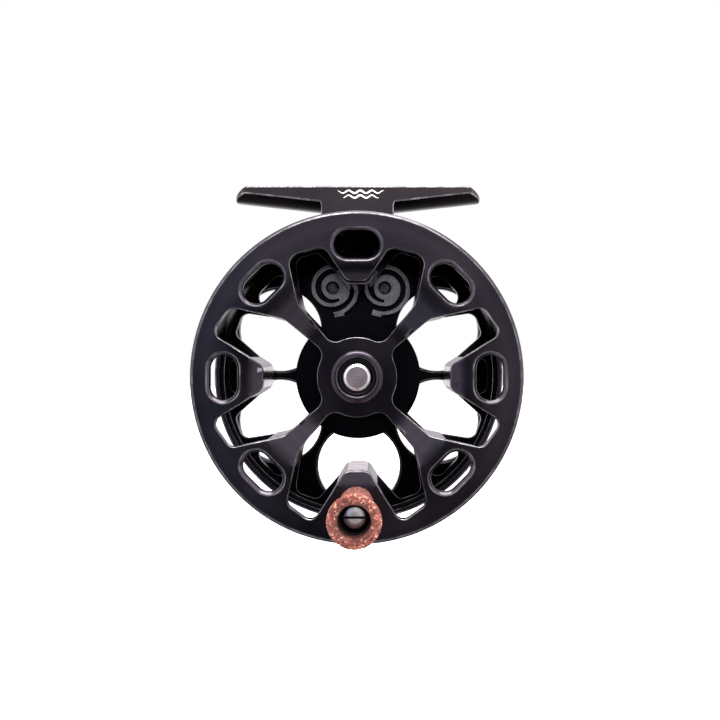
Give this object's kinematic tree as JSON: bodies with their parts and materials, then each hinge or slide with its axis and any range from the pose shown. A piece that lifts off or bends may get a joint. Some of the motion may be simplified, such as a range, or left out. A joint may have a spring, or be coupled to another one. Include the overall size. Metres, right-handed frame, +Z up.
{
  "type": "fly reel",
  "caption": "Open-frame fly fishing reel: dark anodised ported spool in a half cage, curved mounting foot on top, cork crank handle, flat spiral click springs and a click gear.",
  "frame": {"origin": "middle of the hollow saddle on top of the reel foot, where the rod's seat lies", "axes": "+X along the rod and the foot, to the right seen from the handle side; +Y away from the handle, from the spool's face to the back plate; +Z up, from the spool to the foot. The spool turns about a line parallel to Y, 46.4 mm under the origin"},
  "size_m": [0.082, 0.0494, 0.0893],
  "materials": {
    "frame_alloy": "satin anodised, near black",
    "spool_alloy": "satin anodised, near black with a violet cast",
    "gear_alloy": "satin anodised, near black",
    "spindle_steel": "turned, bright",
    "spring_steel": "satin, mid grey",
    "dark_screws": "blackened",
    "bright_screws": "satin",
    "black_polymer": "matte black",
    "cork": "speckled red-brown cork composite, matt"
  },
  "bodies": {
    "frame": {"frame_cage": "frame_alloy", "reel_foot": "frame_alloy", "foot_screws": "dark_screws", "spindle": "spindle_steel", "spindle_screw": "dark_screws", "spindle_washer": "spindle_steel", "click_screws": "dark_screws", "click_spacers": "spindle_steel"},
    "spool": {"spool": "spool_alloy", "click_gear": "gear_alloy", "gear_screws": "dark_screws", "hub_cap": "spool_alloy", "front_bushing": "black_polymer", "rear_bushing": "black_polymer", "retaining_clip": "spring_steel", "handle_post": "bright_screws", "handle_nut": "bright_screws", "handle_screw": "bright_screws"},
    "handle": {"handle_grip": "cork", "handle_sleeve": "black_polymer"},
    "left_click": {"left_click_spring": "spring_steel"},
    "right_click": {"right_click_spring": "spring_steel"}
  },
  "joints": [
    {"name": "spool_spin", "type": "hinge", "parent": "frame", "child": "spool", "pos_m": [0, 0, -0.04639], "axis": [0, 1, 0], "continuous": true},
    {"name": "handle_spin", "type": "hinge", "parent": "spool", "child": "handle", "pos_m": [0, 0, -0.07689], "axis": [0, 1, 0], "continuous": true},
    {"name": "left_click_flex", "type": "hinge", "parent": "frame", "child": "left_click", "pos_m": [-0.0071, 0.0086, -0.02249], "axis": [0, 1, 0], "range_deg": [-3, 3], "stiffness_Nm_per_rad": 0.004},
    {"name": "right_click_flex", "type": "hinge", "parent": "frame", "child": "right_click", "pos_m": [0.0071, 0.0086, -0.02249], "axis": [0, 1, 0], "range_deg": [-3, 3], "stiffness_Nm_per_rad": 0.004}
  ]
}
